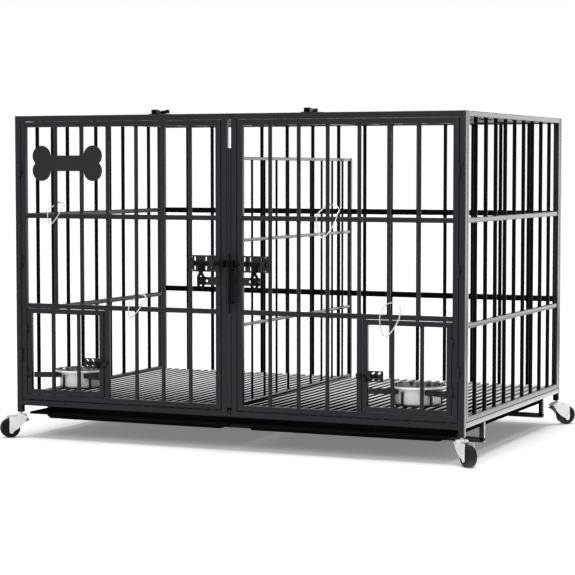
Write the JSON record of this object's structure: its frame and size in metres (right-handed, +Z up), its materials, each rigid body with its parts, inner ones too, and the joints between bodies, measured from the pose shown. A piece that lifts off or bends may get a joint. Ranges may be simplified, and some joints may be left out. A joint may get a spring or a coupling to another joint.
{
  "type": "dog crate",
  "caption": "Welded bar dog crate on casters with a sliding divider, front doors, hinged feeding doors with bowls, hinged lids, slatted floor and pull-out trays.",
  "frame": {"origin": "on the ground under the middle of the crate", "axes": "+X along the width to the right as seen from the doors, +Y from the doors to the back, +Z up"},
  "size_m": [1.2992, 0.892, 0.844],
  "materials": {
    "frame_paint": "satin charcoal powder coat with a fine hammered texture",
    "floor_paint": "satin near-black powder coat",
    "tray_paint": "semi-gloss black coated sheet",
    "black_fittings": "satin black coated steel",
    "clip_wire": "bright bent wire",
    "bowl_steel": "brushed stainless sheet",
    "caster_zinc": "bright zinc plated pressing",
    "caster_rubber": "matt black tread",
    "brake_plastic": "matt black moulding"
  },
  "bodies": {
    "crate": {"front_left_post": "frame_paint", "front_right_post": "frame_paint", "front_centre_posts": "frame_paint", "front_rails": "frame_paint", "rear_left_post": "frame_paint", "rear_right_post": "frame_paint", "rear_grille": "frame_paint", "left_side_grille": "frame_paint", "right_side_grille": "frame_paint", "top_centre_beam": "frame_paint", "floor_grate": "floor_paint", "tray_rails": "floor_paint", "panel_bolts": "black_fittings", "keepers": "black_fittings", "hinge_brackets": "frame_paint", "caster_stems": "caster_zinc"},
    "left_door": {"left_door_frame": "frame_paint", "left_door_bars": "frame_paint", "left_latch_plate": "black_fittings", "left_wire_clips": "clip_wire", "name_plate": "black_fittings"},
    "left_bolt": {"left_door_bolt": "black_fittings"},
    "left_feed": {"left_feed_door": "frame_paint", "left_feed_latch_plate": "black_fittings", "left_bowl_holder": "black_fittings"},
    "left_feed_bolt": {"left_feed_bolt": "black_fittings"},
    "left_bowl": {"left_bowl": "bowl_steel"},
    "right_door": {"right_door_frame": "frame_paint", "right_door_bars": "frame_paint", "right_latch_plate": "black_fittings", "right_wire_clips": "clip_wire"},
    "right_bolt": {"right_door_bolt": "black_fittings"},
    "right_feed": {"right_feed_door": "frame_paint", "right_feed_latch_plate": "black_fittings", "right_bowl_holder": "black_fittings", "right_feed_clip": "clip_wire"},
    "right_feed_bolt": {"right_feed_bolt": "black_fittings"},
    "right_bowl": {"right_bowl": "bowl_steel"},
    "divider": {"divider_panel": "floor_paint"},
    "divider_catch": {"divider_catch": "black_fittings"},
    "left_tray": {"left_tray": "tray_paint"},
    "right_tray": {"right_tray": "tray_paint"},
    "left_lid": {"left_lid": "frame_paint", "left_lid_latch": "black_fittings"},
    "left_lid_bolt": {"left_lid_bolt": "black_fittings"},
    "right_lid": {"right_lid": "frame_paint", "right_lid_latch": "black_fittings"},
    "right_lid_bolt": {"right_lid_bolt": "black_fittings"},
    "front_left_caster": {"front_left_fork": "caster_zinc"},
    "front_left_wheel": {"front_left_wheel": "caster_rubber"},
    "front_left_brake": {"front_left_brake": "brake_plastic"},
    "front_right_caster": {"front_right_fork": "caster_zinc"},
    "front_right_wheel": {"front_right_wheel": "caster_rubber"},
    "front_right_brake": {"front_right_brake": "brake_plastic"},
    "rear_right_caster": {"rear_right_fork": "caster_zinc"},
    "rear_right_wheel": {"rear_right_wheel": "caster_rubber"},
    "rear_right_brake": {"rear_right_brake": "brake_plastic"},
    "rear_left_caster": {"rear_left_fork": "caster_zinc"},
    "rear_left_wheel": {"rear_left_wheel": "caster_rubber"},
    "rear_left_brake": {"rear_left_brake": "brake_plastic"}
  },
  "joints": [
    {"name": "left_door_hinge", "type": "hinge", "parent": "crate", "child": "left_door", "pos_m": [-0.59425, -0.4123, 0.458], "axis": [0, 0, -1], "range_deg": [0, 110]},
    {"name": "left_door_bolt_slide", "type": "slide", "parent": "left_door", "child": "left_bolt", "axis": [-1, 0, 0], "range_m": [-0.014, 0]},
    {"name": "left_feed_hinge", "type": "hinge", "parent": "left_door", "child": "left_feed", "pos_m": [-0.57875, -0.4118, 0.226], "axis": [0, 0, -1], "range_deg": [0, 100]},
    {"name": "left_feed_bolt_slide", "type": "slide", "parent": "left_feed", "child": "left_feed_bolt", "axis": [-1, 0, 0], "range_m": [-0.011, 0]},
    {"name": "left_bowl_lift", "type": "slide", "parent": "left_feed", "child": "left_bowl", "axis": [0, 0, 1], "range_m": [0, 0.15]},
    {"name": "right_door_hinge", "type": "hinge", "parent": "crate", "child": "right_door", "pos_m": [0.59425, -0.4123, 0.458], "axis": [0, 0, 1], "range_deg": [0, 110]},
    {"name": "right_door_bolt_slide", "type": "slide", "parent": "right_door", "child": "right_bolt", "axis": [1, 0, 0], "range_m": [-0.014, 0]},
    {"name": "right_feed_hinge", "type": "hinge", "parent": "right_door", "child": "right_feed", "pos_m": [0.57875, -0.4118, 0.226], "axis": [0, 0, 1], "range_deg": [0, 100]},
    {"name": "right_feed_bolt_slide", "type": "slide", "parent": "right_feed", "child": "right_feed_bolt", "axis": [1, 0, 0], "range_m": [-0.011, 0]},
    {"name": "right_bowl_lift", "type": "slide", "parent": "right_feed", "child": "right_bowl", "axis": [0, 0, 1], "range_m": [0, 0.15]},
    {"name": "divider_slide", "type": "slide", "parent": "crate", "child": "divider", "axis": [0, -1, 0], "range_m": [0, 0.78]},
    {"name": "divider_catch_turn", "type": "hinge", "parent": "crate", "child": "divider_catch", "pos_m": [0.01, -0.426, 0.42], "axis": [0, 0, 1], "range_deg": [-180, 0]},
    {"name": "left_tray_slide", "type": "slide", "parent": "crate", "child": "left_tray", "axis": [0, -1, 0], "range_m": [0, 0.7]},
    {"name": "left_lid_hinge", "type": "hinge", "parent": "crate", "child": "left_lid", "pos_m": [-0.301, 0.39225, 0.8363], "axis": [-1, 0, 0], "range_deg": [0, 100]},
    {"name": "left_lid_bolt_slide", "type": "slide", "parent": "left_lid", "child": "left_lid_bolt", "axis": [0, 1, 0], "range_m": [-0.01, 0]},
    {"name": "right_tray_slide", "type": "slide", "parent": "crate", "child": "right_tray", "axis": [0, -1, 0], "range_m": [0, 0.7]},
    {"name": "right_lid_hinge", "type": "hinge", "parent": "crate", "child": "right_lid", "pos_m": [0.301, 0.39225, 0.8363], "axis": [-1, 0, 0], "range_deg": [0, 100]},
    {"name": "right_lid_bolt_slide", "type": "slide", "parent": "right_lid", "child": "right_lid_bolt", "axis": [0, 1, 0], "range_m": [-0.01, 0]},
    {"name": "front_left_swivel", "type": "hinge", "parent": "crate", "child": "front_left_caster", "pos_m": [-0.6025, -0.4005, 0.06], "axis": [0, 0, 1], "continuous": true},
    {"name": "front_left_roll", "type": "hinge", "parent": "front_left_caster", "child": "front_left_wheel", "pos_m": [-0.62299, -0.42172, 0.0255], "axis": [0.7193, -0.6947, 0], "continuous": true},
    {"name": "front_left_brake_press", "type": "hinge", "parent": "front_left_caster", "child": "front_left_brake", "pos_m": [-0.59972, -0.39762, 0.043], "axis": [-0.7193, 0.6947, 0], "range_deg": [0, 15]},
    {"name": "front_right_swivel", "type": "hinge", "parent": "crate", "child": "front_right_caster", "pos_m": [0.6025, -0.4005, 0.06], "axis": [0, 0, 1], "continuous": true},
    {"name": "front_right_roll", "type": "hinge", "parent": "front_right_caster", "child": "front_right_wheel", "pos_m": [0.62476, -0.41985, 0.0255], "axis": [0.6561, 0.7547, 0], "continuous": true},
    {"name": "front_right_brake_press", "type": "hinge", "parent": "front_right_caster", "child": "front_right_brake", "pos_m": [0.59948, -0.39788, 0.043], "axis": [-0.6561, -0.7547, 0], "range_deg": [0, 15]},
    {"name": "rear_right_swivel", "type": "hinge", "parent": "crate", "child": "rear_right_caster", "pos_m": [0.6025, 0.4005, 0.06], "axis": [0, 0, 1], "continuous": true},
    {"name": "rear_right_roll", "type": "hinge", "parent": "rear_right_caster", "child": "rear_right_wheel", "pos_m": [0.62299, 0.42172, 0.0255], "axis": [-0.7193, 0.6947, 0], "continuous": true},
    {"name": "rear_right_brake_press", "type": "hinge", "parent": "rear_right_caster", "child": "rear_right_brake", "pos_m": [0.59972, 0.39762, 0.043], "axis": [0.7193, -0.6947, 0], "range_deg": [0, 15]},
    {"name": "rear_left_swivel", "type": "hinge", "parent": "crate", "child": "rear_left_caster", "pos_m": [-0.6025, 0.4005, 0.06], "axis": [0, 0, 1], "continuous": true},
    {"name": "rear_left_roll", "type": "hinge", "parent": "rear_left_caster", "child": "rear_left_wheel", "pos_m": [-0.62476, 0.41985, 0.0255], "axis": [-0.6561, -0.7547, 0], "continuous": true},
    {"name": "rear_left_brake_press", "type": "hinge", "parent": "rear_left_caster", "child": "rear_left_brake", "pos_m": [-0.59948, 0.39788, 0.043], "axis": [0.6561, 0.7547, 0], "range_deg": [0, 15]}
  ]
}
